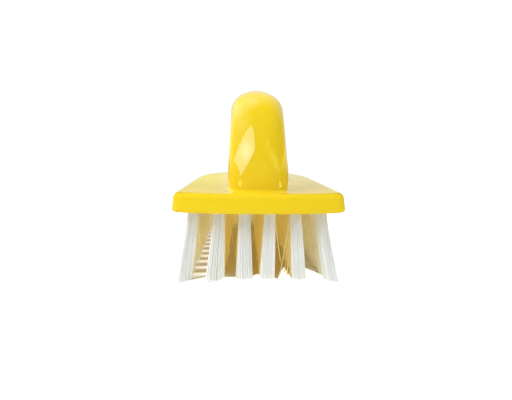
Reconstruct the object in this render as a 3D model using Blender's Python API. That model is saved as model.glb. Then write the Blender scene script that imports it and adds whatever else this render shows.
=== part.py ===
"""Hand scrub brush with a closed iron-style handle.

One moulding (block and loop handle), rows of filament tufts set in blind holes in
its underside, and the short flat wires that anchor the tufts. Metres, +Z up. The
cut ends of the tufts stand on z = 0, the flat heel is at -Y and the nose at +Y.
"""

import math

import bmesh
import bpy
from mathutils import Matrix

# ---- driving dimensions, in metres -------------------------------------------
LENGTH = 0.1487  # heel to nose
WIDTH = 0.0659  # block, at its lower edge
BRISTLE = 0.0275  # free length of the tufts, and so the height of the block's underside
BLOCK_T = 0.0073  # thickness of the block
TOP_Z = BRISTLE + BLOCK_T  # flat top of the block
HEEL_BOW = 0.0040  # how far the heel stands out in the middle
HEEL_BOW_POWER = 2.5
HEEL_CORNER = 0.0053  # plan radius of the two heel corners
NOSE_START = 0.0874  # distance from the heel where the sides begin to close in
NOSE_POWER = 2.33  # 2 is an ellipse, more is fuller
DRAFT = 0.00045  # how much narrower each side is at the top than at the bottom
TOP_ROUND = 0.0023  # edge radius round the top
BOTTOM_ROUND = 0.0009  # edge radius round the underside

PITCH = 0.00967  # between rows and between columns of holes
FIRST_ROW = 0.0079  # first row of holes, from the heel
EDGE_MARGIN = 0.0084  # from the outermost holes to the edge of the block
ROWS = 14
NOSE_FAN = {10: 0.0008, 11: 0.0018, 12: 0.0030, 13: 0.0044}  # how far the middle of a row stands forward
HOLE_R = 0.0023  # corner radius of the eight-sided hole
HOLE_DEPTH = 0.0055
TUFT_R = 0.0018  # tuft where it enters the block
ROOT_Z = BRISTLE + 0.0037  # folded root of the tuft
FIELD_X = -0.0006  # the drilled field sits a little off the middle of the block
EDGE_TIP_R = 0.0038  # spread tip of an outer tuft
INNER_LAP = 0.00035  # how far the spread tips of inner neighbours reach past their midline
INNER_TIP_Y = 0.0045  # half depth of an inner tuft's tip, towards the next row
WIRE = (0.0034, 0.0006, 0.0010)  # anchor wire: length, thickness, height
WIRE_Z = BRISTLE + 0.0045
SIDES = 8

HEEL_Y = -LENGTH / 2
MM = 0.001

# The loop handle in side view is an outer and an inner arch on straight posts. Each arch is
# two superellipse quadrants that meet at its top. A d is a distance from the heel.
FOOT_Z = BRISTLE + 0.0060  # both posts start inside the block
ARCH_TOP_D = 0.0450
OUTER_HEEL_D, OUTER_NOSE_D, OUTER_TOP_Z = 0.0076, 0.1266, 0.0760
INNER_HEEL_D, INNER_NOSE_D, INNER_TOP_Z = 0.0280, 0.1020, 0.0592
HEEL_SPRING, NOSE_SPRING = 0.0430, 0.0350  # heights where the posts start to bend
OUTER_BEND, INNER_BEND = (3.0, 1.95), (4.0, 2.05)  # heel and nose: 2 is an ellipse, more is squarer
GRIP_W, HEEL_FOOT_W, NOSE_FOOT_W = 0.0105, 0.0120, 0.0110  # half widths
TAPER_Z, TAPER_POWER = (0.0410, 0.0680), 1.3  # the posts narrow between these heights
POST_N, SHOULDER_N, GRIP_N, NOSE_N = 2.6, 3.0, 2.0, 2.5  # squareness of the section
LEAN = 0.0190  # the loop stands a degree off square, towards -X, as moulded

# Tips of the six tufts along the heel, in mm: lean in x, lean in y, half width, half depth
HEEL_TIPS = [
    (-4.3, -0.2, 2.5, 3.0),
    (-1.6, 0.6, 3.8, 2.9),
    (-0.1, 1.5, 3.4, 2.7),
    (-0.6, 1.5, 3.1, 2.7),
    (2.7, 1.0, 2.7, 2.8),
    (4.4, 0.2, 2.5, 3.0),
]


# ---- helpers -----------------------------------------------------------------
def linear(c):
    return c / 12.92 if c <= 0.04045 else ((c + 0.055) / 1.055) ** 2.4


def material(name, rgb, roughness, metallic=0.0):
    mat = bpy.data.materials.new(name)
    mat.use_nodes = True
    shader = mat.node_tree.nodes["Principled BSDF"]
    shader.inputs["Base Color"].default_value = (*[linear(v / 255) for v in rgb], 1)
    shader.inputs["Roughness"].default_value = roughness
    shader.inputs["Metallic"].default_value = metallic
    return mat


def add_object(name, mesh, collection, mat=None):
    obj = bpy.data.objects.new(name, mesh)
    collection.objects.link(obj)
    if mat:
        mesh.materials.append(mat)
    return obj


def lofted(bm, rings):
    """Skins a list of equal-length closed rings and closes both ends."""
    loops = [[bm.verts.new(p) for p in ring] for ring in rings]
    count = len(loops[0])
    for low, high in zip(loops, loops[1:]):
        for i in range(count):
            j = (i + 1) % count
            bm.faces.new((low[i], low[j], high[j], high[i]))
    bm.faces.new(list(reversed(loops[0])))
    bm.faces.new(loops[-1])


def ease(x, a, b):
    """0 below a, 1 above b, smooth between."""
    t = min(max((x - a) / (b - a), 0.0), 1.0)
    return t * t * (3 - 2 * t)


# ---- plan outline of the block -----------------------------------------------
def nose_half_width(y, inset=0.0):
    """Half the block's width at y, along the nose and the straight sides."""
    full, reach = WIDTH / 2 - inset, LENGTH - NOSE_START - inset
    u = (y - HEEL_Y - NOSE_START) / reach
    if u <= 0:
        return full
    return full * max(0.0, 1 - u**NOSE_POWER) ** (1 / NOSE_POWER)


def right_half_outline(inset):
    """Points from the middle of the heel round the right side to the tip of the nose."""
    half = WIDTH / 2 - inset
    corner = HEEL_CORNER - inset * 0.5
    heel = HEEL_Y + inset
    points = []
    flat = half - corner
    for i in range(6):
        x = flat * i / 6
        points.append((x, heel + HEEL_BOW * (x / half) ** HEEL_BOW_POWER))
    start = heel + HEEL_BOW * (flat / half) ** HEEL_BOW_POWER
    for i in range(7):
        a = math.pi / 2 * i / 6
        points.append(
            (flat + corner * math.sin(a), start + corner * (1 - math.cos(a)))
        )
    side_end = HEEL_Y + NOSE_START
    begin = points[-1][1]
    for i in range(1, 4):
        points.append((half, begin + (side_end - begin) * i / 4))
    reach = LENGTH - NOSE_START - inset
    steps = 15
    for i in range(steps):
        a = math.pi / 2 * i / steps
        c, s = math.cos(a) ** (2 / NOSE_POWER), math.sin(a) ** (2 / NOSE_POWER)
        points.append((half * c, side_end + reach * s))
    points.append((0.0, side_end + reach))
    return points


def outline(inset):
    right = right_half_outline(inset)
    left = [(-x, y) for x, y in reversed(right[1:-1])]
    return right + left


def block_rings():
    """Rings from the underside to the top: round lower edge, drafted wall, round upper edge."""
    rings = []
    for i in range(3):
        a = math.pi / 2 * i / 2
        rings.append((BOTTOM_ROUND * (1 - math.sin(a)), BRISTLE + BOTTOM_ROUND * (1 - math.cos(a))))
    for i in range(5):
        a = math.pi / 2 * i / 4
        rings.append(
            (DRAFT + TOP_ROUND * (1 - math.cos(a)), TOP_Z - TOP_ROUND * (1 - math.sin(a)))
        )
    return [[(x, y, z) for x, y in outline(inset)] for inset, z in rings]


# ---- handle ------------------------------------------------------------------
def arch_point(degrees, heel_d, nose_d, top_z, bend):
    """Point (d, z) of an arch, from 0 at the heel post over the top at 90 to 180 at the nose."""
    c = abs(math.cos(math.radians(degrees)))
    s = max(math.sin(math.radians(degrees)), 0.0)
    if degrees <= 90:
        reach, spring, power = heel_d - ARCH_TOP_D, HEEL_SPRING, bend[0]
    else:
        reach, spring, power = nose_d - ARCH_TOP_D, NOSE_SPRING, bend[1]
    return ARCH_TOP_D + reach * c ** (2 / power), spring + (top_z - spring) * s ** (2 / power)


def handle_station(t):
    """Outer point, inner point, half width and squareness at t, which runs from 0 in the
    heel foot over the grip to 1 in the nose foot."""
    degrees = min(max((t - 0.12) / 0.83, 0.0), 1.0) * 180
    outer = arch_point(degrees, OUTER_HEEL_D, OUTER_NOSE_D, OUTER_TOP_Z, OUTER_BEND)
    inner = arch_point(degrees, INNER_HEEL_D, INNER_NOSE_D, INNER_TOP_Z, INNER_BEND)
    if t < 0.12:
        z = FOOT_Z + (HEEL_SPRING - FOOT_Z) * t / 0.12
        outer, inner = (outer[0], z), (inner[0], z)
    elif t > 0.95:
        z = NOSE_SPRING + (FOOT_Z - NOSE_SPRING) * (t - 0.95) / 0.05
        outer, inner = (outer[0], z), (inner[0], z)
    low, high = TAPER_Z
    taper = min(max((high - outer[1]) / (high - low), 0.0), 1.0) ** TAPER_POWER
    foot = HEEL_FOOT_W if degrees <= 90 else NOSE_FOOT_W
    square = POST_N + (SHOULDER_N - POST_N) * ease(degrees, 0, 35)
    square += (GRIP_N - SHOULDER_N) * ease(degrees, 45, 75)
    square += (NOSE_N - GRIP_N) * ease(degrees, 120, 180)
    return outer, inner, GRIP_W + (foot - GRIP_W) * taper, square


def handle_ring(t, sides=20):
    outer, inner, half, n = handle_station(t)
    cy, cz = HEEL_Y + (outer[0] + inner[0]) / 2, (outer[1] + inner[1]) / 2
    hy, hz = (outer[0] - inner[0]) / 2, (outer[1] - inner[1]) / 2
    ring = []
    for i in range(sides):
        a = 2 * math.pi * (i + 0.5) / sides
        c, s = math.cos(a), math.sin(a)
        u = math.copysign(abs(c) ** (2 / n), c)
        v = math.copysign(abs(s) ** (2 / n), s)
        z = cz + hz * v
        ring.append((half * u - LEAN * (z - TOP_Z), cy + hy * v, z))
    return ring


def handle_rings(stations=32, sides=20):
    return [handle_ring(i / stations, sides) for i in range(stations + 1)]


# ---- tufts -------------------------------------------------------------------
def tuft_rows():
    """The holes of each row as (x, y), left to right. The outermost follow the nose."""
    rows = []
    for n in range(ROWS):
        y = HEEL_Y + FIRST_ROW + PITCH * n
        outer = min(2.5 * PITCH, nose_half_width(y, EDGE_MARGIN))
        each_side = 3 if outer > 1.7 * PITCH else 2
        inmost = 0.5 * PITCH
        xs = [inmost + (outer - inmost) * i / (each_side - 1) for i in range(each_side)]
        fan = NOSE_FAN.get(n, 0.0)
        if n == ROWS - 1:  # the last row stands between the columns of the others
            row = [(x, y + fan * (1 - (x / outer) ** 2)) for x in (-PITCH, 0.0, PITCH)]
        else:
            half = [(x, y + fan * (1 - (x / outer) ** 2)) for x in xs]
            row = [(-x, yy) for x, yy in reversed(half)] + half
        rows.append([(x + FIELD_X, yy) for x, yy in row])
    return rows


def octagon(cx, cy, z, rx, ry):
    """Eight corners, with flat sides towards X and Y at the distances rx and ry."""
    grow = 1 / math.cos(math.pi / SIDES)
    return [
        (
            cx + rx * grow * math.cos(2 * math.pi * (i + 0.5) / SIDES),
            cy + ry * grow * math.sin(2 * math.pi * (i + 0.5) / SIDES),
            z,
        )
        for i in range(SIDES)
    ]


def tuft_rings(x, y, dx, dy, rx, ry):
    """Straight in its hole, then leaning and spreading to a flat-cut end on z = 0."""
    neck = TUFT_R * math.cos(math.pi / SIDES)
    return [
        octagon(x + dx, y + dy, 0.0, rx, ry),
        octagon(x, y, BRISTLE + 0.0004, neck, neck),
        octagon(x, y, ROOT_Z, neck, neck),
    ]


def tuft_mesh(name, tufts):
    bm = bmesh.new()
    for tuft in tufts:
        lofted(bm, tuft_rings(*tuft))
    bmesh.ops.recalc_face_normals(bm, faces=bm.faces)
    mesh = bpy.data.meshes.new(name)
    bm.to_mesh(mesh)
    bm.free()
    mesh.shade_smooth()
    mesh.set_sharp_from_angle(angle=math.radians(50))
    return mesh


def edge_tuft(n, x, y, column=0):
    """An outer tuft leans outward, away from the middle of the brush."""
    if n == 0:
        return (x, y, *[v * MM for v in HEEL_TIPS[column]])
    dx, dy, r = math.copysign(0.0030, x), 0.0, EDGE_TIP_R
    if n == ROWS - 1:
        dx, dy = x * 0.12, 0.0024
    elif n == ROWS - 2:
        dy = 0.0014
    return (x, y, dx, dy, r, r)


def inner_tuft(x, y, spacing):
    return (x, y, 0.0, 0.0, spacing / 2 + INNER_LAP, INNER_TIP_Y)


# ---- build -------------------------------------------------------------------
def build():
    for obj in list(bpy.data.objects):
        bpy.data.objects.remove(obj, do_unlink=True)

    parts = bpy.data.collections.new("hand_scrub_brush")
    cutters = bpy.data.collections.new("cutters")
    bpy.context.scene.collection.children.link(parts)
    bpy.context.scene.collection.children.link(cutters)

    yellow = material("yellow_moulding", (247, 212, 38), 0.22)
    nylon = material("white_filament", (226, 224, 212), 0.45)
    steel = material("anchor_wire", (186, 188, 190), 0.3, 1.0)

    # block
    bm = bmesh.new()
    lofted(bm, block_rings())
    bmesh.ops.recalc_face_normals(bm, faces=bm.faces)
    mesh = bpy.data.meshes.new("moulded_body")
    bm.to_mesh(mesh)
    bm.free()
    body = add_object("moulded_body", mesh, parts, yellow)

    # loop handle, joined to the block
    bm = bmesh.new()
    lofted(bm, handle_rings())
    bmesh.ops.recalc_face_normals(bm, faces=bm.faces)
    mesh = bpy.data.meshes.new("handle_loop")
    bm.to_mesh(mesh)
    bm.free()
    loop = add_object("handle_loop", mesh, cutters)

    # blind tuft holes
    rows = tuft_rows()
    bm = bmesh.new()
    for x, y in [hole for row in rows for hole in row]:
        made = bmesh.ops.create_cone(
            bm,
            cap_ends=True,
            segments=SIDES,
            radius1=HOLE_R,
            radius2=HOLE_R,
            depth=HOLE_DEPTH + 0.001,
        )["verts"]
        turn = Matrix.Rotation(math.pi / SIDES, 3, "Z")
        bmesh.ops.rotate(bm, verts=made, cent=(0, 0, 0), matrix=turn)
        centre_z = BRISTLE + HOLE_DEPTH - (HOLE_DEPTH + 0.001) / 2
        bmesh.ops.translate(bm, verts=made, vec=(x, y, centre_z))
    mesh = bpy.data.meshes.new("tuft_holes")
    bm.to_mesh(mesh)
    bm.free()
    holes = add_object("tuft_holes", mesh, cutters)
    for name, other, operation in (
        ("join_handle", loop, "UNION"),
        ("drill_holes", holes, "DIFFERENCE"),
    ):
        boolean = body.modifiers.new(name, "BOOLEAN")
        boolean.operation = operation
        boolean.solver = "EXACT"
        boolean.object = other
    body.data.shade_smooth()
    body.data.set_sharp_from_angle(angle=math.radians(35))

    # tufts: each one in the outer ring is a piece of its own, and the inner ones of a
    # row, whose spread tips run into each other, are one piece
    for n, row in enumerate(rows):
        tag = f"r{n + 1:02d}"
        if n in (0, ROWS - 1):
            for c, (x, y) in enumerate(row):
                name = f"tuft_{tag}_c{c + 1}"
                add_object(name, tuft_mesh(name, [edge_tuft(n, x, y, c)]), parts, nylon)
            continue
        for side, (x, y) in (("left", row[0]), ("right", row[-1])):
            name = f"tuft_{tag}_{side}"
            add_object(name, tuft_mesh(name, [edge_tuft(n, x, y)]), parts, nylon)
        inner = row[1:-1]
        spacing = max(b[0] - a[0] for a, b in zip(inner, inner[1:]))
        made = [inner_tuft(x, y, spacing) for x, y in inner]
        name = f"tufts_{tag}_inner"
        main = add_object(name, tuft_mesh(name, made[0::2]), parts, nylon)
        others = add_object(name + "_b", tuft_mesh(name + "_b", made[1::2]), cutters)
        boolean = main.modifiers.new("join_tips", "BOOLEAN")
        boolean.operation = "UNION"
        boolean.solver = "EXACT"
        boolean.object = others

    # anchor wires of the heel row, lying across the folded roots
    for c, (x, y) in enumerate(rows[0]):
        name = f"anchor_wire_r01_c{c + 1}"
        bpy.ops.mesh.primitive_cube_add(size=1.0, location=(0, 0, 0))
        wire = bpy.context.active_object
        wire.name = wire.data.name = name
        for collection in list(wire.users_collection):
            collection.objects.unlink(wire)
        parts.objects.link(wire)
        wire.data.transform(Matrix.Diagonal((*WIRE, 1.0)))
        wire.location = (x, y, WIRE_Z)
        wire.data.materials.append(steel)

    for helper in cutters.objects:
        helper.hide_render = True
        helper.display_type = "WIRE"


build()
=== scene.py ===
"""Looks of the hand scrub brush: glossy yellow moulding, bundles of single nylon
filaments, steel anchor wires, a white studio and the camera of the photograph.
Everything is in metres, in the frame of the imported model."""

import math

import bmesh
import bpy
import numpy as np
from mathutils import Matrix, Vector
from mathutils.bvhtree import BVHTree
from mathutils.geometry import delaunay_2d_cdt


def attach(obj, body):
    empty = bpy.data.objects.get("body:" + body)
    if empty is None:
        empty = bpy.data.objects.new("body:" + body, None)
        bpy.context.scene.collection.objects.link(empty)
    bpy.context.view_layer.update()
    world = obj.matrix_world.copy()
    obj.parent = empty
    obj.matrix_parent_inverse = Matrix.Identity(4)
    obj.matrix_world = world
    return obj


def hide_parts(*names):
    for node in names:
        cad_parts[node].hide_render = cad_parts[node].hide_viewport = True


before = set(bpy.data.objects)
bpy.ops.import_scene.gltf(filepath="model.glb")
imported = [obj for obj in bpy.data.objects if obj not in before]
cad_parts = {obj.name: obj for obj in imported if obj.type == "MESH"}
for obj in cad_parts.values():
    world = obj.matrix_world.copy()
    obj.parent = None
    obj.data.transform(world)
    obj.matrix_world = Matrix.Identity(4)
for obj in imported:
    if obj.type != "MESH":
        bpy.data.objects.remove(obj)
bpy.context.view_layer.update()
scene = bpy.context.scene
MM = 0.001

# ---- the brush's dimensions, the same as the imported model's --------------------
LENGTH, WIDTH = 0.1487, 0.0659
BRISTLE, BLOCK_T = 0.0275, 0.0073
TOP_Z = BRISTLE + BLOCK_T
HEEL_BOW, HEEL_BOW_POWER, HEEL_CORNER = 0.0040, 2.5, 0.0053
NOSE_START, NOSE_POWER = 0.0874, 2.33
DRAFT, TOP_ROUND, BOTTOM_ROUND = 0.00045, 0.0023, 0.0009
PITCH, FIRST_ROW, EDGE_MARGIN, ROWS = 0.00967, 0.0079, 0.0084, 14
NOSE_FAN = {10: 0.0008, 11: 0.0018, 12: 0.0030, 13: 0.0044}
HOLE_R, HOLE_DEPTH, ROOT_Z = 0.0023, 0.0055, BRISTLE + 0.0037
FIELD_X = -0.0006
HEEL_Y = -LENGTH / 2
LEAN = 0.0190  # the loop stands a degree off square
FILLET = 0.0013  # where the handle's feet run into the top of the block

# The loop handle in side view is an outer and an inner arch on straight posts. Each arch is
# two superellipse quadrants that meet at its top. A d is a distance from the heel.
FOOT_Z = BRISTLE + 0.0060  # both posts start inside the block
ARCH_TOP_D = 0.0450
OUTER_HEEL_D, OUTER_NOSE_D, OUTER_TOP_Z = 0.0076, 0.1266, 0.0760
INNER_HEEL_D, INNER_NOSE_D, INNER_TOP_Z = 0.0280, 0.1020, 0.0592
HEEL_SPRING, NOSE_SPRING = 0.0430, 0.0350  # heights where the posts start to bend
OUTER_BEND, INNER_BEND = (3.0, 1.95), (4.0, 2.05)  # heel and nose: 2 is an ellipse, more is squarer
GRIP_W, HEEL_FOOT_W, NOSE_FOOT_W = 0.0105, 0.0120, 0.0110  # half widths
TAPER_Z, TAPER_POWER = (0.0410, 0.0680), 1.3  # the posts narrow between these heights
POST_N, SHOULDER_N, GRIP_N, NOSE_N = 2.6, 3.0, 2.0, 2.5  # squareness of the section


# ---- camera --------------------------------------------------------------------
def make_camera():
    """The photograph's viewpoint: low, in front of the heel, a little above the block."""
    yaw, pitch, roll = math.radians(1.779), math.radians(-7.157), math.radians(0.491)
    fwd = Vector(
        (math.sin(yaw) * math.cos(pitch), math.cos(yaw) * math.cos(pitch), math.sin(pitch))
    )
    right = fwd.cross(Vector((0, 0, 1))).normalized()
    up = right.cross(fwd)
    r = right * math.cos(roll) + up * math.sin(roll)
    u = -right * math.sin(roll) + up * math.cos(roll)
    data = bpy.data.cameras.new("camera")
    data.sensor_width = 36.0
    data.sensor_fit = "HORIZONTAL"
    data.lens = 411.454 / 512 * 36
    data.clip_start, data.clip_end = 0.01, 50
    cam = bpy.data.objects.new("camera", data)
    scene.collection.objects.link(cam)
    where = Vector((-5.984, -221.314, 51.31)) * MM
    cam.matrix_world = Matrix(
        (
            (r.x, u.x, -fwd.x, where.x),
            (r.y, u.y, -fwd.y, where.y),
            (r.z, u.z, -fwd.z, where.z),
            (0, 0, 0, 1),
        )
    )
    scene.camera = cam
    focal = 411.454

    def ray(px, py):
        """Direction through a pixel of the 512 x 400 picture."""
        d = fwd * focal + r * (px - 256) - u * (py - 200)
        return where, d.normalized()

    return ray


# ---- helpers -------------------------------------------------------------------
def linear(c):
    c /= 255
    return c / 12.92 if c <= 0.04045 else ((c + 0.055) / 1.055) ** 2.4


def rgb(*c):
    return (*[linear(v) for v in c], 1)


def smooth(x, a, b):
    t = np.clip((x - a) / (b - a), 0, 1)
    return t * t * (3 - 2 * t)


def ease(x, a, b):
    t = min(max((x - a) / (b - a), 0.0), 1.0)
    return t * t * (3 - 2 * t)


class Nodes:
    """Short calls for a material's node tree."""

    def __init__(self, name):
        self.mat = bpy.data.materials.new(name)
        self.mat.use_nodes = True
        self.tree = self.mat.node_tree
        self.shader = self.tree.nodes["Principled BSDF"]

    def add(self, kind, **values):
        node = self.tree.nodes.new(kind)
        for key, value in values.items():
            setattr(node, key, value)
        return node

    def link(self, a, b):
        self.tree.links.new(a, b)

    def position(self, scale=(1, 1, 1), turn=(0, 0, 0)):
        coord = self.add("ShaderNodeTexCoord")
        mapping = self.add("ShaderNodeMapping")
        mapping.inputs["Scale"].default_value = scale
        mapping.inputs["Rotation"].default_value = turn
        self.link(coord.outputs["Object"], mapping.inputs["Vector"])
        return mapping.outputs["Vector"]

    def noise(self, vector, scale, detail=2.0, rough=0.5):
        node = self.add("ShaderNodeTexNoise")
        node.inputs["Scale"].default_value = scale
        node.inputs["Detail"].default_value = detail
        node.inputs["Roughness"].default_value = rough
        self.link(vector, node.inputs["Vector"])
        return node.outputs["Fac"]

    def remap(self, socket, a, b, lo=0.0, hi=1.0):
        node = self.add("ShaderNodeMapRange")
        for key, value in (("From Min", a), ("From Max", b), ("To Min", lo), ("To Max", hi)):
            node.inputs[key].default_value = value
        self.link(socket, node.inputs["Value"])
        return node.outputs["Result"]

    def mix(self, fac, a, b, blend="MIX"):
        node = self.add("ShaderNodeMix", data_type="RGBA", blend_type=blend)
        for socket, value in ((node.inputs[0], fac), (node.inputs[6], a), (node.inputs[7], b)):
            if hasattr(value, "is_output"):
                self.link(value, socket)
            else:
                socket.default_value = value
        return node.outputs[2]

    def math(self, operation, a, b=0.0, c=0.0):
        node = self.add("ShaderNodeMath", operation=operation)
        for socket, value in zip(node.inputs, (a, b, c)):
            if hasattr(value, "is_output"):
                self.link(value, socket)
            else:
                socket.default_value = value
        return node.outputs[0]

    def attribute(self, name):
        return self.add("ShaderNodeAttribute", attribute_name=name).outputs["Fac"]

    def bump(self, height, strength, distance, normal=None):
        node = self.add("ShaderNodeBump")
        node.inputs["Strength"].default_value = strength
        node.inputs["Distance"].default_value = distance
        self.link(height, node.inputs["Height"])
        if normal is not None:
            self.link(normal, node.inputs["Normal"])
        return node.outputs["Normal"]


# ---- the moulding: block, loop handle and blind holes, one watertight mesh -------
def nose_half_width(y, inset=0.0):
    full, reach = WIDTH / 2 - inset, LENGTH - NOSE_START - inset
    u = (y - HEEL_Y - NOSE_START) / reach
    return full if u <= 0 else full * max(0.0, 1 - u**NOSE_POWER) ** (1 / NOSE_POWER)


def tuft_rows():
    rows = []
    for n in range(ROWS):
        y = HEEL_Y + FIRST_ROW + PITCH * n
        outer = min(2.5 * PITCH, nose_half_width(y, EDGE_MARGIN))
        each_side = 3 if outer > 1.7 * PITCH else 2
        inmost = 0.5 * PITCH
        xs = [inmost + (outer - inmost) * i / (each_side - 1) for i in range(each_side)]
        fan = NOSE_FAN.get(n, 0.0)
        if n == ROWS - 1:  # the last row stands between the columns of the others
            row = [(x, y + fan * (1 - (x / outer) ** 2)) for x in (-PITCH, 0.0, PITCH)]
        else:
            half = [(x, y + fan * (1 - (x / outer) ** 2)) for x in xs]
            row = [(-x, yy) for x, yy in reversed(half)] + half
        rows.append([(x + FIELD_X, yy) for x, yy in row])
    return rows


def outline(inset):
    """The block in plan: bowed heel, round corners that meet it smoothly, round nose."""
    half = WIDTH / 2 - inset
    corner = HEEL_CORNER - inset * 0.5
    heel = HEEL_Y + inset
    flat, lean = half - corner, 0.0
    for _ in range(30):
        slope = HEEL_BOW * HEEL_BOW_POWER * (flat / half) ** (HEEL_BOW_POWER - 1) / half
        lean = math.atan(slope)
        flat = half - corner + corner * math.sin(lean)
    right = []
    for i in range(26):
        x = flat * i / 26
        right.append((x, heel + HEEL_BOW * (x / half) ** HEEL_BOW_POWER))
    mid_y = heel + HEEL_BOW * (flat / half) ** HEEL_BOW_POWER + corner * math.cos(lean)
    for i in range(17):
        a = lean + (math.pi / 2 - lean) * i / 16
        right.append((half - corner + corner * math.sin(a), mid_y - corner * math.cos(a)))
    side_end = HEEL_Y + NOSE_START
    for i in range(1, 26):
        right.append((half, mid_y + (side_end - mid_y) * i / 26))
    reach = LENGTH - NOSE_START - inset
    for i in range(64):
        a = math.pi / 2 * i / 64
        right.append(
            (
                half * math.cos(a) ** (2 / NOSE_POWER),
                side_end + reach * math.sin(a) ** (2 / NOSE_POWER),
            )
        )
    right.append((0.0, side_end + reach))
    return right + [(-x, y) for x, y in reversed(right[1:-1])]


SIDES = 72


def arch_point(degrees, heel_d, nose_d, top_z, bend):
    """Point (d, z) of an arch, from 0 at the heel post over the top at 90 to 180 at the nose."""
    c = abs(math.cos(math.radians(degrees)))
    s = max(math.sin(math.radians(degrees)), 0.0)
    if degrees <= 90:
        reach, spring, power = heel_d - ARCH_TOP_D, HEEL_SPRING, bend[0]
    else:
        reach, spring, power = nose_d - ARCH_TOP_D, NOSE_SPRING, bend[1]
    return ARCH_TOP_D + reach * c ** (2 / power), spring + (top_z - spring) * s ** (2 / power)


def handle_station(t):
    """Outer point, inner point, half width and squareness at t, which runs from 0 in the
    heel foot over the grip to 1 in the nose foot."""
    degrees = min(max((t - 0.12) / 0.83, 0.0), 1.0) * 180
    outer = arch_point(degrees, OUTER_HEEL_D, OUTER_NOSE_D, OUTER_TOP_Z, OUTER_BEND)
    inner = arch_point(degrees, INNER_HEEL_D, INNER_NOSE_D, INNER_TOP_Z, INNER_BEND)
    if t < 0.12:
        z = FOOT_Z + (HEEL_SPRING - FOOT_Z) * t / 0.12
        outer, inner = (outer[0], z), (inner[0], z)
    elif t > 0.95:
        z = NOSE_SPRING + (FOOT_Z - NOSE_SPRING) * (t - 0.95) / 0.05
        outer, inner = (outer[0], z), (inner[0], z)
    low, high = TAPER_Z
    taper = min(max((high - outer[1]) / (high - low), 0.0), 1.0) ** TAPER_POWER
    foot = HEEL_FOOT_W if degrees <= 90 else NOSE_FOOT_W
    square = POST_N + (SHOULDER_N - POST_N) * ease(degrees, 0, 35)
    square += (GRIP_N - SHOULDER_N) * ease(degrees, 45, 75)
    square += (NOSE_N - GRIP_N) * ease(degrees, 120, 180)
    return outer, inner, GRIP_W + (foot - GRIP_W) * taper, square


def handle_ring(t):
    outer, inner, half, n = handle_station(t)
    cy, cz = HEEL_Y + (outer[0] + inner[0]) / 2, (outer[1] + inner[1]) / 2
    hy, hz = (outer[0] - inner[0]) / 2, (outer[1] - inner[1]) / 2
    ring = []
    for i in range(SIDES):
        a = 2 * math.pi * (i + 0.5) / SIDES
        c, s = math.cos(a), math.sin(a)
        u = math.copysign(abs(c) ** (2 / n), c)
        v = math.copysign(abs(s) ** (2 / n), s)
        z = cz + hz * v
        ring.append(Vector((half * u - LEAN * (z - TOP_Z), cy + hy * v, z)))
    return ring


def flared(ring):
    """Pushes the points near the block outward, along the fillet."""
    centre = sum(ring, Vector()) / len(ring)
    out = []
    for i, p in enumerate(ring):
        h = p.z - TOP_Z
        if h >= FILLET:
            out.append(p)
            continue
        h = max(h, 0.0)
        grow = FILLET - math.sqrt(max(0.0, FILLET**2 - (FILLET - h) ** 2))
        a, b = ring[i - 1], ring[(i + 1) % len(ring)]
        tangent = Vector((b.x - a.x, b.y - a.y, 0)).normalized()
        normal = Vector((tangent.y, -tangent.x, 0))
        if normal.dot(Vector((p.x - centre.x, p.y - centre.y, 0))) < 0:
            normal = -normal
        q = p + normal * grow
        q.z = max(q.z, TOP_Z)
        out.append(q)
    return out


def handle_rings():
    """From the heel foot, over the grip, to the nose foot."""

    def at_height(z, low, high):
        for _ in range(50):
            mid = (low + high) / 2
            if (handle_station(mid)[0][1] < z) == (low < high):
                low = mid
            else:
                high = mid
        return (low + high) / 2

    steps = [FILLET * (1 - math.cos(math.pi / 2 * k / 8)) for k in range(9)]
    start = [at_height(TOP_Z + h, 0.0, 0.2) for h in steps]
    stop = [at_height(TOP_Z + h, 1.0, 0.85) for h in steps]
    between = np.linspace(start[-1], stop[-1], 190)[1:-1]
    ts = start + [float(t) for t in between] + stop[::-1]
    rings = [flared(handle_ring(t)) for t in ts]
    for ring in (rings[0], rings[-1]):
        for p in ring:
            p.z = TOP_Z
    return rings


def grid_points(loop, spacing, keep_off):
    """Grid points inside a loop, clear of its edge and of the circles or loops in keep_off."""
    pts = np.array(loop)
    found = []
    lo, hi = pts.min(0), pts.max(0)
    for x in np.arange(lo[0] + spacing / 2, hi[0], spacing):
        for y in np.arange(lo[1] + spacing / 2, hi[1], spacing):
            if inside(pts, x, y) and np.min(np.hypot(*(pts - (x, y)).T)) > spacing * 0.5:
                if all(clear(x, y) for clear in keep_off):
                    found.append((float(x), float(y)))
    return found


def inside(pts, x, y):
    a, b = pts, np.roll(pts, -1, axis=0)
    crosses = (a[:, 1] > y) != (b[:, 1] > y)
    with np.errstate(divide="ignore", invalid="ignore"):
        at = a[:, 0] + (y - a[:, 1]) / (b[:, 1] - a[:, 1]) * (b[:, 0] - a[:, 0])
    return bool(np.count_nonzero(crosses & (x < at)) % 2)


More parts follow.
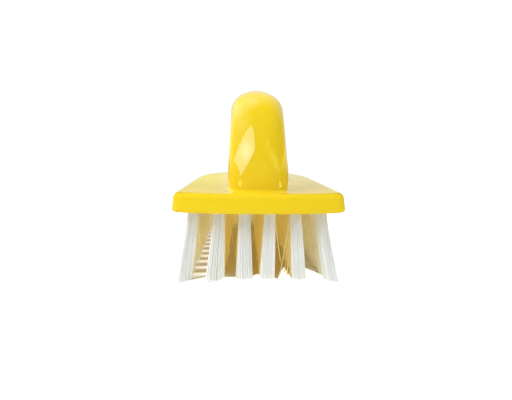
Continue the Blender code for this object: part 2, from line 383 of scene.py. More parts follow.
class Shell:
    """Collects the vertices and faces of one mesh."""

    def __init__(self):
        self.points, self.faces = [], []

    def loop(self, ring):
        first = len(self.points)
        self.points += [tuple(p) for p in ring]
        return list(range(first, first + len(ring)))

    def skin(self, low, high):
        count = len(low)
        for i in range(count):
            j = (i + 1) % count
            self.faces.append((low[i], low[j], high[j], high[i]))

    def flat(self, outer, holes, z, spacing):
        """Fills the plane at z between an outer loop and inner ones, all made already."""
        loops = [outer, *holes]
        ids = [i for loop in loops for i in loop]
        verts = [Vector(self.points[i][:2]) for i in ids]
        edges, at = [], 0
        for loop in loops:
            edges += [(at + i, at + (i + 1) % len(loop)) for i in range(len(loop))]
            at += len(loop)
        rims = [np.array([self.points[i][:2] for i in h]) for h in holes]
        edge = [self.points[i][:2] for i in outer]

        def clear_of(rim):
            return lambda x, y: (
                np.min(np.hypot(*(rim - (x, y)).T)) > spacing * 0.4 and not inside(rim, x, y)
            )

        extra = grid_points(edge, spacing, [clear_of(r) for r in rims])
        for p in extra:
            ids.append(len(self.points))
            self.points.append((*p, z))
            verts.append(Vector(p))
        made, _, tris, origin, _, _ = delaunay_2d_cdt(verts, edges, [], 0, 1e-7)
        border = np.array(edge)
        for tri in tris:
            centre = sum((made[i] for i in tri), Vector((0, 0))) / 3
            if not inside(border, *centre) or any(inside(r, *centre) for r in rims):
                continue
            self.faces.append(tuple(ids[origin[i][0]] for i in tri))


def body_mesh():
    shell = Shell()
    rings = []
    for i in range(7):
        a = math.pi / 2 * i / 6
        rings.append((BOTTOM_ROUND * (1 - math.sin(a)), BRISTLE + BOTTOM_ROUND * (1 - math.cos(a))))
    low, high = rings[-1][1], TOP_Z - TOP_ROUND
    for i in range(1, 4):
        rings.append((DRAFT * i / 4, low + (high - low) * i / 4))
    for i in range(13):
        a = math.pi / 2 * i / 12
        rings.append((DRAFT + TOP_ROUND * (1 - math.cos(a)), TOP_Z - TOP_ROUND * (1 - math.sin(a))))
    rings = [(BOTTOM_ROUND + 0.0005, BRISTLE)] + rings + [(DRAFT + TOP_ROUND + 0.0005, TOP_Z)]
    loops = [shell.loop([(x, y, z) for x, y in outline(inset)]) for inset, z in rings]
    for a, b in zip(loops, loops[1:]):
        shell.skin(a, b)
    tube = [shell.loop(r) for r in handle_rings()]
    for a, b in zip(tube, tube[1:]):
        shell.skin(a, b)
    shell.flat(loops[-1], [tube[0], tube[-1]], TOP_Z, 0.0032)
    rims = []
    for x, y in [hole for row in tuft_rows() for hole in row]:
        circle = [(math.cos(2 * math.pi * i / 24), math.sin(2 * math.pi * i / 24)) for i in range(24)]
        steps = [
            (HOLE_R + 0.0002, BRISTLE),
            (HOLE_R + 0.00006, BRISTLE + 0.00006),
            (HOLE_R, BRISTLE + 0.0002),
            (HOLE_R, BRISTLE + HOLE_DEPTH),
            (HOLE_R * 0.5, BRISTLE + HOLE_DEPTH + 0.0003),
        ]
        made = [shell.loop([(x + r * c, y + r * s, z) for c, s in circle]) for r, z in steps]
        for a, b in zip(made, made[1:]):
            shell.skin(a, b)
        shell.faces.append(tuple(made[-1]))
        rims.append(made[0])
    shell.flat(loops[0], rims, BRISTLE, 0.0034)
    mesh = bpy.data.meshes.new("brush_body")
    mesh.from_pydata(shell.points, [], shell.faces)
    mesh.validate()
    bm = bmesh.new()
    bm.from_mesh(mesh)
    bmesh.ops.recalc_face_normals(bm, faces=bm.faces)
    bm.to_mesh(mesh)
    bm.free()
    mesh.shade_smooth()
    mesh.set_sharp_from_angle(angle=math.radians(42))
    return mesh


# ---- filaments -----------------------------------------------------------------
def tubes(name, roots, tips, radius, sides, steps, bend, tone, depth, rise):
    """One mesh of closed thin tubes, each straight in its hole and then running to its tip.
    bend is each one's sideways bow, tone its own shade, depth how far inside the field it stands, which sets its
    painted shade and glow, and rise how much wider the bundle opens near the tips than near the block."""
    count = len(roots)
    inner = np.array([[ROOT_Z, 0.0], [BRISTLE + 0.0002, 0.0]])
    s = np.linspace(0, 1, steps + 1)[1:]
    share = np.concatenate([inner[:, 1], s])
    levels = len(share)
    centre = np.zeros((count, levels, 3))
    reach = share[None, :] ** rise
    arc = np.sin(np.pi * np.clip(share, 0, 1))[None, :] * (share[None, :] > 0)
    arc = arc * (0.6 + 0.4 * share[None, :])
    for axis in (0, 1):
        centre[:, :, axis] = (
            roots[:, axis, None]
            + (tips[:, axis] - roots[:, axis])[:, None] * reach
            + bend[:, axis, None] * arc
        )
    centre[:, 0, 2] = inner[0, 0]
    centre[:, 1, 2] = inner[1, 0]
    centre[:, 2:, 2] = BRISTLE + (tips[:, 2] - BRISTLE)[:, None] * s[None, :]
    a = 2 * np.pi * np.arange(sides) / sides
    turn = np.random.default_rng(count).uniform(0, 2 * np.pi, count)
    angle = a[None, :] + turn[:, None]
    ring = np.stack([np.cos(angle), np.sin(angle), np.zeros_like(angle)], -1)
    points = centre[:, :, None, :] + ring[:, None, :, :] * radius[:, None, None, None]
    points = points.reshape(-1, 3)
    base = np.arange(count)[:, None, None] * levels * sides
    level = np.arange(levels - 1)[None, :, None] * sides
    k = np.arange(sides)[None, None, :]
    j = (k + 1) % sides
    quads = np.stack(
        [base + level + k, base + level + sides + k, base + level + sides + j, base + level + j], -1
    ).reshape(-1, 4)
    start = (np.arange(count) * levels * sides)[:, None]
    top = start + np.arange(sides)[None, :]
    end = start + (levels - 1) * sides + np.arange(sides)[::-1][None, :]
    faces = [tuple(f) for f in quads.tolist()] + [tuple(f) for f in top.tolist()]
    faces += [tuple(f) for f in end.tolist()]
    mesh = bpy.data.meshes.new(name)
    mesh.from_pydata(points.tolist(), [], faces)
    for label, values in (
        ("tone", np.repeat(tone, levels * sides)),
        ("depth", np.repeat(depth, levels * sides)),
        ("along", np.tile(np.repeat(share, sides), count)),
    ):
        attribute = mesh.attributes.new(label, "FLOAT", "POINT")
        attribute.data.foreach_set("value", values.astype(np.float32))
    mesh.shade_smooth()
    mesh.set_sharp_from_angle(angle=math.radians(65))
    return mesh


def bundle(rings, rng):
    """Filaments packed in rings round one in the middle, as points of the unit disc."""
    points = [(0.0, 0.0)]
    for k in range(1, rings + 1):
        turn = rng.uniform(0, 2 * math.pi)
        for i in range(6 * k):
            a = turn + 2 * math.pi * i / (6 * k)
            points.append((k / rings * math.cos(a), k / rings * math.sin(a)))
    p = np.array(points)
    return p + rng.normal(0, 0.022, p.shape)


# Tips of the six tufts along the heel, in mm: tip centre x, d of the nearest tips, half
# width, half depth, how much the near edge slants back per mm to the right
HEEL_TUFTS = [
    (-28.7, 6.1, 2.3, 1.9, 1.05),
    (-17.0, 6.5, 3.35, 2.2, 0.72),
    (-5.4, 8.9, 3.1, 2.4, 0.05),
    (3.5, 8.9, 2.8, 2.4, 0.0),
    (16.1, 8.4, 2.6, 2.4, 0.25),
    (28.3, 6.5, 2.3, 2.0, -0.95),
]
# The same for the rows behind: how far each column leans out, and its half width
COLUMN_LEAN = [-4.1, -1.5, -0.1, -0.5, 2.5, 4.2]
COLUMN_HALF = [2.5, 3.5, 3.2, 2.9, 2.7, 2.4]
RING_STEP = 0.00039  # between the rings of filaments at the root
FILAMENT_R = 0.00021


def tuft(
    seed, x, y, tip, half, shear=0.0, rings=5, inward=(0, 0), deep=0.0, ragged=0.0003, strays=2,
    rise=1.0,
):
    """Filament arrays of one tuft. tip is the centre of its cut ends, half their spread, inward the direction of
    the brush's middle, deep its share of the painted shade and warmth of the inside, which its inward side gets
    more of."""
    rng = np.random.default_rng(seed)
    unit = bundle(rings, rng)
    count = len(unit)
    roots = np.array([x, y]) + unit * RING_STEP * rings
    wide = disc_square(unit)
    ends = np.array(tip) + wide * np.array(half)
    ends[:, 1] += shear * wide[:, 0] * half[0]
    ends += rng.normal(0, 0.00008, ends.shape)
    z = np.abs(rng.normal(0, ragged, count))
    bend = rng.normal(0, 0.00007, (count, 2))
    for _ in range(strays):
        i = rng.integers(0, count)
        ends[i] += rng.normal(0, 0.0009, 2)
        bend[i] += rng.normal(0, 0.0005, 2)
        z[i] += rng.uniform(0, 0.0012)
    tips = np.column_stack([ends, z])
    tone = np.clip(rng.normal(0.5, 0.2, count), 0, 1)
    side = unit @ np.array(inward, float) if any(inward) else np.zeros(count)
    depth = np.clip(deep + 0.5 * side * (1 - deep), 0, 1)
    radius = FILAMENT_R * (1 + rng.normal(0, 0.05, count))
    return roots, tips, radius, bend, tone, depth, rise


def disc_square(unit):
    """Fills out the disc's corners, so a tuft keeps its width right to its near edge."""
    r = np.maximum(np.hypot(*unit.T), 1e-9)[:, None]
    u = np.abs(unit / r)
    return unit / (u[:, :1] ** 3.5 + u[:, 1:] ** 3.5) ** (1 / 3.5)


def stray(x, y, z, ends):
    """Filaments that left their tuft: ends are (x offset at the root, tip x, tip y, tip z). z is their depth,
    which above 1 paints them a darker amber as shade.
    """
    count = len(ends)
    e = np.array(ends)
    roots = np.column_stack([np.full(count, x) + e[:, 0], np.full(count, y)])
    tips = e[:, 1:4]
    flat = np.zeros((count, 2))
    even = np.full(count, 0.5)
    return roots, tips, np.full(count, FILAMENT_R * 0.9), flat, even, np.full(count, z), 1.0


def filament_piece(name, parts, sides, steps, nodes, mat):
    joined = [np.concatenate([p[k] for p in parts]) for k in range(6)]
    roots, tips, radius, bend, tone, depth = joined
    mesh = tubes(name, roots, tips, radius, sides, steps, bend, tone, depth, parts[0][6])
    piece = bpy.data.objects.new(name, mesh)
    scene.collection.objects.link(piece)
    mesh.materials.append(mat)
    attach(piece, "root")
    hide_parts(*nodes)
    return piece


# Strays seen in front of the channels: heel column, root offset (mm), tip pixel, tip depth d (mm)
STRAYS = [
    (3, 1.5, 280.6, 262.0, 11.5),
    (4, -1.7, 279.8, 275.0, 12.5),
    (4, -1.4, 284.6, 271.8, 15.0),
    (4, -1.0, 286.8, 275.8, 13.0),
    (4, -1.2, 287.6, 274.0, 14.0),
    (4, -0.8, 290.0, 277.5, 11.0),
    (4, -0.6, 291.8, 277.5, 11.0),
    (0, 1.4, 201.2, 258.0, 22.0),
]


def make_filaments(mat, ray):
    rng = np.random.default_rng(7)
    for n, row in enumerate(tuft_rows()):
        tag = f"r{n + 1:02d}"
        reach = (row[-1][0] - row[0][0]) / (5 * PITCH)  # the rows grow shorter at the nose
        if n == 0:
            for c, (x, y) in enumerate(row):
                tx, near, hw, hd, shear = HEEL_TUFTS[c]
                tip = (tx * MM, HEEL_Y + (near + hd) * MM)
                made = tuft(
                    100 + c, x, y, tip, (hw * MM, hd * MM), shear,
                    inward=(0, 1), ragged=0.00032, strays=0, rise=1.12,
                )
                ends = []
                for column, offset, px, py, d in STRAYS:
                    if column == c:
                        origin, way = ray(px, py)
                        hit = origin + way * ((HEEL_Y + d * MM - origin.y) / way.y)
                        ends.append((offset * MM, hit.x, hit.y, max(hit.z, 0.0)))
                # the strays get depth 1.7: painted shade in dark amber
                parts = [made] + ([stray(x, y, 1.7, ends)] if ends else [])
                filament_piece(f"filaments_{tag}_c{c + 1}", parts, 7, 8, [f"tuft_{tag}_c{c + 1}"], mat)
            continue
        if n == ROWS - 1:
            for c, (x, y) in enumerate(row):
                made = tuft(
                    300 + c, x, y, (x * 1.12, y + 0.0024), (0.0034, 0.0034), inward=(0, -1)
                )
                filament_piece(f"filaments_{tag}_c{c + 1}", [made], 6, 6, [f"tuft_{tag}_c{c + 1}"], mat)
            continue
        made = []
        for c, (x, y) in enumerate(row):
            column = c if len(row) == 6 else (0, 1, 4, 5)[c]
            lean = COLUMN_LEAN[column] * max(reach, 0.6) + rng.normal(0, 0.22)
            half = COLUMN_HALF[column] + rng.normal(0, 0.18)
            back = 0.9 + rng.normal(0, 0.2) + (0.8 if n == ROWS - 2 else 0.0)
            edge = c in (0, len(row) - 1)
            made.append(
                tuft(
                    1000 + 10 * n + c, x, y, (x + lean * MM, y + back * MM), (half * MM, 0.0031),
                    rings=5 if edge else 4, inward=(1 if c == 0 else -1, 0) if edge else (0, 0),
                    # inner tufts carry the full painted shade and warmth
                    deep=0.0 if edge else 1.0,
                )
            )
        filament_piece(f"filaments_{tag}_left", [made[0]], 6, 6, [f"tuft_{tag}_left"], mat)
        filament_piece(f"filaments_{tag}_right", [made[-1]], 6, 6, [f"tuft_{tag}_right"], mat)
        filament_piece(f"filaments_{tag}_inner", made[1:-1], 5, 5, [f"tufts_{tag}_inner"], mat)


# ---- materials -----------------------------------------------------------------
def yellow_plastic(name, glow=0.0):
    """Glossy polypropylene: faint flow clouds, orange peel, rubbed edges, fine scratches.
    glow is painted light: the surface emits yellow light of its own, standing in for light that comes through the
    plastic where it lies in its own shade."""
    n = Nodes(name)
    here = n.position()
    clouds = n.noise(here, 38, 3, 0.55)
    colour = n.mix(n.remap(clouds, 0.3, 0.7), rgb(251, 219, 42), rgb(249, 215, 38))
    specks = n.remap(n.noise(here, 900, 2, 0.6), 0.62, 0.8)
    colour = n.mix(n.math("MULTIPLY", specks, 0.10), colour, rgb(236, 190, 4))
    n.link(colour, n.shader.inputs["Base Color"])
    rub = n.remap(n.noise(here, 130, 4, 0.6), 0.35, 0.75, 0.05, 0.09)
    fine = n.noise(n.position((1, 0.06, 1), (0.3, 0.2, 0.9)), 2600, 2, 0.5)
    rough = n.math("ADD", rub, n.remap(fine, 0.60, 0.75, 0.0, 0.05))
    n.link(rough, n.shader.inputs["Roughness"])
    peel = n.noise(here, 420, 2, 0.45)
    slow = n.noise(n.position((0.4, 1, 1)), 70, 1, 0.4)
    normal = n.bump(slow, 0.06, 0.00020)
    normal = n.bump(peel, 0.12, 0.00002, normal)
    n.link(normal, n.shader.inputs["Normal"])
    n.shader.inputs["IOR"].default_value = 1.45
    # painted glow: the surface emits this yellow light at the strength glow
    n.shader.inputs["Emission Color"].default_value = (0.75, 1.0, 0.06, 1)
    n.shader.inputs["Emission Strength"].default_value = glow
    return n.mat


def nylon():
    """Milky filament, each with its own tone that drifts along it. Painted warm light and shade make it golden
    inside the field and near the block, and a painted glow lights it from within.
    """
    n = Nodes("filament_nylon")
    tone, depth, along = (n.attribute(a) for a in ("tone", "depth", "along"))
    place = n.add("ShaderNodeCombineXYZ")
    n.link(n.math("MULTIPLY", tone, 40.0), place.inputs[0])
    n.link(n.math("MULTIPLY", along, 3.0), place.inputs[1])
    drift = n.noise(place.outputs[0], 1.0, 2, 0.5)
    white = n.mix(n.remap(drift, 0.3, 0.7), rgb(246, 248, 246), rgb(252, 253, 252))
    inside_painted_warmth = n.mix(tone, rgb(249, 237, 174), rgb(252, 244, 198))
    # painted shade and bounce light: filaments inside the field are mixed towards gold by their depth
    colour = n.mix(depth, white, inside_painted_warmth)
    colour = n.mix(n.remap(depth, 1.0, 2.0), colour, rgb(226, 188, 112))  # painted shade: depth above 1, given only to the strays, mixes them towards a dark amber
    # painted shade: towards the block the colour is mixed with a darker warm cream, up to 30 % at the root
    root = n.remap(along, 0.0, 0.5, 0.30, 0.0)
    colour = n.mix(root, colour, rgb(245, 234, 200))
    n.link(colour, n.shader.inputs["Base Color"])
    n.link(n.remap(drift, 0.3, 0.7, 0.34, 0.46), n.shader.inputs["Roughness"])
    # painted glow: each filament emits a little light, white at the edge of the field and yellowish inside it
    glow = n.mix(depth, (1.0, 1.0, 1.0, 1), (1.0, 1.0, 0.45, 1))
    n.link(glow, n.shader.inputs["Emission Color"])
    n.link(n.remap(depth, 0.0, 1.0, 0.037, 0.045), n.shader.inputs["Emission Strength"])
    n.shader.inputs["Subsurface Weight"].default_value = 1.0
    n.shader.inputs["Subsurface Radius"].default_value = (1.0, 1.0, 1.0)
    n.shader.inputs["Subsurface Scale"].default_value = 0.0020
    n.link(n.bump(drift, 0.15, 0.00002), n.shader.inputs["Normal"])
    return n.mat


def wire_steel():
    n = Nodes("wire_steel")
    drawn = n.noise(n.position((0.05, 1, 1)), 4000, 3, 0.6)
    n.link(
        n.mix(n.remap(drawn, 0.3, 0.7), rgb(168, 170, 174), rgb(208, 209, 210)),
        n.shader.inputs["Base Color"],
    )
    n.link(n.remap(drawn, 0.3, 0.7, 0.2, 0.4), n.shader.inputs["Roughness"])
    n.link(n.bump(drawn, 0.3, 0.00002), n.shader.inputs["Normal"])
    n.shader.inputs["Metallic"].default_value = 1.0
    return n.mat


# ---- studio: strengths balanced against the photograph's tones ------------------
# Radiance of the surroundings: direction ranges (axis, from, to) and colour of each lobe.
# Z is up, Y is behind the brush, and a range that runs downward fades out.
LOBES = [
    ([("Y", 0.1, 0.8), ("X", -0.03, -0.07), ("Z", 0.16, 0.06), ("Z", -0.02, 0.0)], (0.88, 0.90, 0.44)),
    ([("Y", 0.1, 0.8), ("X", -0.07, -0.03), ("Z", 0.16, 0.06), ("Z", -0.02, 0.0)], (0.88, 0.88, 0.64)),
    ([("Y", 0.1, 0.7), ("Z", 0.07, 0.18), ("Z", 0.55, 0.35)], (0.74, 0.74, 0.74)),
    ([("Y", -0.1, 0.4), ("Z", 0.35, 0.55)], (0.90, 0.90, 0.90)),
    ([("X", -0.3, -0.9), ("Z", 0.16, 0.06), ("Z", -0.02, 0.0)], (0.25, 0.25, 0.25)),
    ([("X", -0.2, -0.8), ("Z", 0.25, 0.5)], (1.47, 1.47, 1.47)),
    ([("X", -0.3, -0.9), ("Z", 0.06, 0.16), ("Z", 0.5, 0.25)], (0.52, 0.52, 0.52)),
    ([("Z", 0.0, -0.02)], (0.16, 0.16, 0.16)),
]


def world_light():
    """White surroundings, brighter high up, behind and on the left than at the horizon."""
    world = bpy.data.worlds.new("studio")
    scene.world = world
    world.use_nodes = True
    tree = world.node_tree
    back = tree.nodes["Background"]
    coord = tree.nodes.new("ShaderNodeTexCoord")
    split = tree.nodes.new("ShaderNodeSeparateXYZ")
    tree.links.new(coord.outputs["Generated"], split.inputs[0])

    def ramp(axis, a, b):
        node = tree.nodes.new("ShaderNodeMapRange")
        node.interpolation_type = "SMOOTHSTEP"
        for key, value in (("From Min", a), ("From Max", b), ("To Min", 0), ("To Max", 1)):
            node.inputs[key].default_value = value
        tree.links.new(split.outputs[axis], node.inputs["Value"])
        return node.outputs["Result"]

    total = None
    for ranges, colour in LOBES:
        level = None
        for one in ranges:
            here = ramp(*one)
            if level is not None:
                node = tree.nodes.new("ShaderNodeMath")
                node.operation = "MULTIPLY"
                tree.links.new(level, node.inputs[0])
                tree.links.new(here, node.inputs[1])
                here = node.outputs[0]
            level = here
        tint = tree.nodes.new("ShaderNodeVectorMath")
        tint.operation = "SCALE"
        tint.inputs[0].default_value = colour
        tree.links.new(level, tint.inputs["Scale"])
        lit = tint.outputs["Vector"]
        if total is not None:
            node = tree.nodes.new("ShaderNodeVectorMath")
            node.operation = "ADD"
            tree.links.new(total, node.inputs[0])
            tree.links.new(lit, node.inputs[1])
            lit = node.outputs["Vector"]
        total = lit
    tree.links.new(total, back.inputs["Color"])
    back.inputs["Strength"].default_value = 1.0
    # the paper behind the brush is white to the camera
    paper = tree.nodes.new("ShaderNodeBackground")
    paper.inputs["Color"].default_value = (1, 1, 1, 1)
    paper.inputs["Strength"].default_value = 1.01
    path = tree.nodes.new("ShaderNodeLightPath")
    pick = tree.nodes.new("ShaderNodeMixShader")
    tree.links.new(path.outputs["Is Camera Ray"], pick.inputs[0])
    tree.links.new(back.outputs[0], pick.inputs[1])
    tree.links.new(paper.outputs[0], pick.inputs[2])
    out = next(x for x in tree.nodes if x.type == "OUTPUT_WORLD")
    tree.links.new(pick.outputs[0], out.inputs["Surface"])


def area(name, where, target, size, power, glossy=True, colour=(1, 1, 1)):
    data = bpy.data.lights.new(name, "AREA")
    data.shape = "RECTANGLE"
    data.size, data.size_y = size
    data.energy = power
    data.color = colour
    obj = bpy.data.objects.new(name, data)
    scene.collection.objects.link(obj)
    obj.location = where
    obj.rotation_mode = "QUATERNION"
    obj.rotation_quaternion = (Vector(target) - Vector(where)).to_track_quat("-Z", "Y")
    obj.visible_glossy = glossy
    obj.visible_camera = False
    return obj


def edge_distance(x, y, outline):
    """Distance of a picture point from a closed outline, in pixels."""
    a, b = outline, np.roll(outline, -1, axis=0)
    along = b - a
    t = ((x - a[:, 0]) * along[:, 0] + (y - a[:, 1]) * along[:, 1]) / (along**2).sum(axis=1)
    near = a + along * np.clip(t, 0.0, 1.0)[:, None]
    return float(np.hypot(near[:, 0] - x, near[:, 1] - y).min())


def black_strip(name, pairs):
    """A black screen ruled between pairs of points, which only gloss can see."""
    mesh = bpy.data.meshes.new(name)
    quads = [(2 * i, 2 * i + 1, 2 * i + 3, 2 * i + 2) for i in range(len(pairs) - 1)]
    mesh.from_pydata([p for pair in pairs for p in pair], [], quads)
    obj = bpy.data.objects.new(name, mesh)
    scene.collection.objects.link(obj)
    n = Nodes(name)
    n.shader.inputs["Base Color"].default_value = (0, 0, 0, 1)
    n.shader.inputs["Specular IOR Level"].default_value = 0.0
    mesh.materials.append(n.mat)
    obj.visible_camera = False
    obj.visible_diffuse = False
    obj.visible_shadow = False


def card(name, pixels, ray, tree, distance, strength, bright, soft, colour):
    """A light card that the gloss of the handle shows inside this outline of picture points.
    bright is a point of the picture, a radius and a gain: the card's own hot spot. soft is
    the width in pixels over which it fades in from its edge."""
    outline_px = []
    for (ax, ay), (bx, by) in zip(pixels, pixels[1:] + pixels[:1]):
        steps = max(1, round(math.hypot(bx - ax, by - ay) / 1.5))
        outline_px += [(ax + (bx - ax) * i / steps, ay + (by - ay) * i / steps) for i in range(steps)]
    inner_px = grid_points(outline_px, 1.6, [])
    rays = []
    for px, py in outline_px + inner_px:
        origin, d = ray(px, py)
        hit, normal, _, _ = tree.ray_cast(origin, d)
        rays.append((hit, (d - 2 * d.dot(normal) * normal).normalized()))
    verts = [Vector(p) for p in outline_px + inner_px]
    edges = [(i, (i + 1) % len(outline_px)) for i in range(len(outline_px))]
    made, _, tris, origin_of, _, _ = delaunay_2d_cdt(verts, edges, [], 0, 1e-6)
    border = np.array(outline_px)
    faces = [
        tuple(origin_of[i][0] for i in tri)
        for tri in tris
        if inside(border, *(sum((made[i] for i in tri), Vector((0, 0))) / 3))
    ]
    mesh = bpy.data.meshes.new(name)
    mesh.from_pydata([h + a * distance for h, a in rays], [], faces)
    gain = []
    for v in verts:
        level = 1.0
        if bright:
            (bx, by), radius, more = bright
            level += more * math.exp(-((v.x - bx) ** 2 + ((v.y - by) * 0.6) ** 2) / radius**2)
        if soft:
            level *= float(smooth(edge_distance(v.x, v.y, border), 0.0, soft))
        gain.append(level)
    attribute = mesh.attributes.new("gain", "FLOAT", "POINT")
    attribute.data.foreach_set("value", np.array(gain, np.float32))
    obj = bpy.data.objects.new(name, mesh)
    scene.collection.objects.link(obj)
    n = Nodes(name)
    glow = n.add("ShaderNodeEmission")
    glow.inputs["Color"].default_value = (*colour, 1)
    n.link(n.math("MULTIPLY", n.attribute("gain"), strength), glow.inputs["Strength"])
    # it adds its light to what lies behind it
    clear = n.add("ShaderNodeBsdfTransparent")
    both = n.add("ShaderNodeAddShader")
    n.link(glow.outputs[0], both.inputs[0])
    n.link(clear.outputs[0], both.inputs[1])
    out = next(x for x in n.tree.nodes if x.type == "OUTPUT_MATERIAL")
    n.link(both.outputs[0], out.inputs["Surface"])
    mesh.materials.append(n.mat)
    obj.visible_camera = False
    obj.visible_diffuse = False
    obj.visible_shadow = False
    if strength > 1.6:  # a strong card sits in a black snoot, so that nothing else mirrors it
        rim = rays[: len(outline_px)]
        black_strip(
            f"snoot_{name}",
            [(h + a * distance * 0.06, h + a * distance * 1.02) for h, a in rim + rim[:1]],
        )
    return obj


COOL, WARM = (0.8, 0.8, 1.0), (1.0, 1.0, 0.3)
# What the handle's gloss mirrors: outline in the picture, distance, strength, hot spot,
# soft edge, colour
REFLECTIONS = {
    "card_window": (
        [(250.9, 123.6), (252.6, 129), (254.8, 135.5), (255.5, 141), (255.4, 146.5), (253.2, 154),
         (249.6, 160.5), (246, 167), (243.2, 172.3), (241.2, 176), (239.6, 171.5), (237, 166.3),
         (233.6, 161.2), (234.8, 157), (237.2, 150.5), (240.2, 143), (243.6, 136), (247.4, 129.4)],
        0.05, 5.2, ((246.3, 151), 5.5, 1.3), 0.0, COOL,
    ),
    "card_kite": (
        [(266.6, 137.6), (268.6, 139), (269.2, 144), (268, 147.5), (265.8, 150.8), (264.8, 149.5),
         (265.6, 144)],
        0.05, 1.6, None, 0.0, WARM,
    ),
    "card_band": (
        [(268, 145), (271.5, 149), (274.5, 151.5), (277, 154.5), (278.6, 158.5), (279.8, 164),
         (280.4, 171), (279.6, 174.5), (276.5, 171.5), (272.4, 167), (269.6, 160.5), (268.2, 152.5)],
        0.05, 1.6, None, 0.8, WARM,
    ),
    "card_stroke": (
        [(272.2, 149.5), (274.8, 155.5), (277, 161.5), (278.6, 168.5), (278.8, 172.5), (276.8, 168.5),
         (274.6, 162), (272.6, 155.5)],
        0.048, 1.5, None, 0.0, WARM,
    ),
    "card_right": (
        [(284.9, 150.5), (285.6, 158), (284.6, 166), (282.5, 170.5), (281, 174), (280.2, 170),
         (281, 162), (282.8, 155)],
        0.05, 1.1, ((282.8, 165.5), 2.2, 1.0), 0.0, WARM,
    ),
    "card_mark": ([(262, 167), (264.5, 165.8), (266.4, 167), (265.4, 169.8), (262.8, 170.4)], 0.05, 1.2, None, 0.0, WARM),
    "card_dot": ([(274.6, 177.4), (276.2, 177.2), (277, 179), (275.6, 179.4)], 0.04, 1.6, None, 0.0, WARM),
    "card_foot_left": ([(238.6, 180.5), (241.8, 179.6), (242, 186.4), (238.8, 186.4)], 0.03, 5.0, None, 0.0, WARM),
    "card_foot_right": ([(278.4, 182), (280.2, 181), (281.8, 187.4), (279, 188)], 0.03, 8.0, None, 0.0, WARM),
    "card_haze": (
        [(235, 106), (238, 102), (243, 98.5), (249, 96.5), (256, 96.5), (263, 101), (259, 107),
         (251, 111.5), (245, 115.5), (239, 119), (234.4, 120.5)],
        0.05, 1.7, None, 5.0, COOL,
    ),
    "card_veil": (
        [(245.5, 113), (250.5, 111.5), (251.4, 120), (249.4, 124), (246.4, 128.4), (243.4, 133),
         (242.4, 124)],
        0.05, 0.9, None, 2.0, COOL,
    ),
}


def flag(ray, tree):
    """A black flag under the light cards, so that the block's front edge doesn't mirror them."""
    pairs = []
    for i in range(29):
        origin, d = ray(230.6 + 1.98 * i, 179.4)
        hit, normal, _, _ = tree.ray_cast(origin, d)
        away = (d - 2 * d.dot(normal) * normal).normalized()
        pairs.append((hit + away * 0.0015, hit + away * 0.075))
    black_strip("flag_black", pairs)


FLOOR_NEAR, FLOOR_FAR, FLOOR_LIGHT_BANDS = 0.41, 0.10, 0.44
FLOOR_WHITE = 0.92  # what the camera sees of it


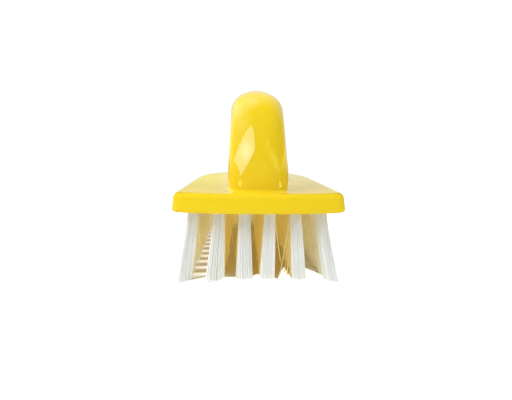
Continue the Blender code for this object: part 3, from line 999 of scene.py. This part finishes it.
def floor():
    """White paper that glows like an overexposed sweep, except under the brush, where it carries painted bands of
    light in the first channel.
    """
    n = Nodes("studio_floor")
    n.shader.inputs["Roughness"].default_value = 0.9
    n.shader.inputs["Specular IOR Level"].default_value = 0.1
    n.shader.inputs["Base Color"].default_value = (0.7, 0.7, 0.7, 1)
    n.shader.inputs["Emission Color"].default_value = (1, 1, 1, 1)
    level = n.math("ADD", n.math("MULTIPLY", n.attribute("far"), FLOOR_FAR - FLOOR_NEAR), FLOOR_NEAR)
    path = n.add("ShaderNodeLightPath")
    seen = path.outputs["Is Camera Ray"]
    unseen = n.math("SUBTRACT", 1.0, seen)
    level = n.math("ADD", n.math("MULTIPLY", level, unseen), n.math("MULTIPLY", seen, FLOOR_WHITE))
    light = n.math("MULTIPLY", n.attribute("glow"), level)
    # painted light: bands of glow on the paper between the tufts
    light = n.math("ADD", light, n.math("MULTIPLY", n.attribute("strip"), FLOOR_LIGHT_BANDS))
    n.link(light, n.shader.inputs["Emission Strength"])
    xs = [-0.16, -0.12, -0.09, -0.06, *np.linspace(-0.04, 0.04, 161), 0.06, 0.09, 0.12, 0.16]
    ys = [-0.24, -0.19, -0.15, -0.11, *np.linspace(-0.08, 0.08, 321), 0.11, 0.15, 0.19, 0.24]
    points = [(float(x), float(y), 0.0) for y in ys for x in xs]
    wide = len(xs)
    corners = [j * wide + i for j in range(len(ys) - 1) for i in range(wide - 1)]
    faces = [(c, c + 1, c + 1 + wide, c + wide) for c in corners]
    # how far back the paper still shows white between the heel tufts: x, d in mm
    edge_x = [-33, -26, -21, -11, -3, 0, 3, 8, 9.5, 12, 13.5, 19, 21, 24, 27.5, 33]
    edge_d = [4, 9.6, 13.3, 13.4, 14, 17.4, 14, 11, 20, 27, 11, 20, 25.5, 21, 13, 6]
    glow, far, strip = [], [], []
    for x, y, _ in points:
        half = nose_half_width(y) if abs(y) < LENGTH / 2 else 0.0
        beside = smooth(abs(x) - half, -0.0030, 0.0002)
        limit = float(np.interp(x / MM, edge_x, edge_d)) * MM
        before = smooth(y - HEEL_Y, limit + 0.0006, limit - 0.0006)
        glow.append(float(max(beside, before)))
        away = math.hypot(max(abs(x) - WIDTH / 2, 0.0), max(abs(y) - LENGTH / 2, 0.0))
        far.append(float(smooth(away, 0.02, 0.10)))
        # painted light: bands between the first two columns, one at each row, standing in for light falling
        # between the tufts
        across = smooth(x, -0.0290, -0.0262) * smooth(x, -0.0180, -0.0200)
        row = (y - HEEL_Y - FIRST_ROW) / PITCH
        near = smooth(abs(row - round(row)), 0.27, 0.12) if 0.6 < row < 11.5 else 0.0
        strip.append(float(across * near))
    mesh = bpy.data.meshes.new("studio_floor")
    mesh.from_pydata(points, [], faces)
    attribute = mesh.attributes.new("glow", "FLOAT", "POINT")
    attribute.data.foreach_set("value", np.array(glow, np.float32))
    for label, values in (("far", far), ("strip", strip)):
        attribute = mesh.attributes.new(label, "FLOAT", "POINT")
        attribute.data.foreach_set("value", np.array(values, np.float32))
    plane = bpy.data.objects.new("studio_floor", mesh)
    scene.collection.objects.link(plane)
    plane.location = (0, 0, -0.00005)
    mesh.materials.append(n.mat)
    plane.visible_glossy = False


# ---- build ---------------------------------------------------------------------
ray = make_camera()
# the second copy of the plastic has a painted glow: it emits a little yellow light
yellow, glowing_underside = yellow_plastic("yellow_plastic"), yellow_plastic("yellow_underside_glow", 0.045)
white, steel = nylon(), wire_steel()

mesh = body_mesh()
body = bpy.data.objects.new("brush_body", mesh)
scene.collection.objects.link(body)
mesh.materials.append(yellow)
mesh.materials.append(glowing_underside)
# the block's downward faces take the copy with the painted glow
for face in mesh.polygons:
    if face.normal.z < -0.7 and face.center.z < BRISTLE + 0.0001:
        face.material_index = 1
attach(body, "root")
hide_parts("moulded_body")

make_filaments(white, ray)
for name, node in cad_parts.items():
    if name.startswith("anchor_wire"):
        node.data.materials.clear()
        node.data.materials.append(steel)

world_light()
floor()
area("key_soft", (-0.62, -0.45, 0.68), (0, -0.03, 0.04), (0.5, 0.5), 5.4, glossy=False)
area("fill_soft", (0.70, -0.50, 0.55), (0, -0.03, 0.04), (0.6, 0.6), 5.0, glossy=False)

tree = BVHTree.FromPolygons(
    [v.co.copy() for v in mesh.vertices], [tuple(p.vertices) for p in mesh.polygons]
)
for name, (pixels, *settings) in REFLECTIONS.items():
    card(name, pixels, ray, tree, *settings)
flag(ray, tree)

scene.view_settings.view_transform = "Standard"
scene.cycles.max_bounces = 32  # light wanders a long way between white filaments
scene.cycles.diffuse_bounces = 24
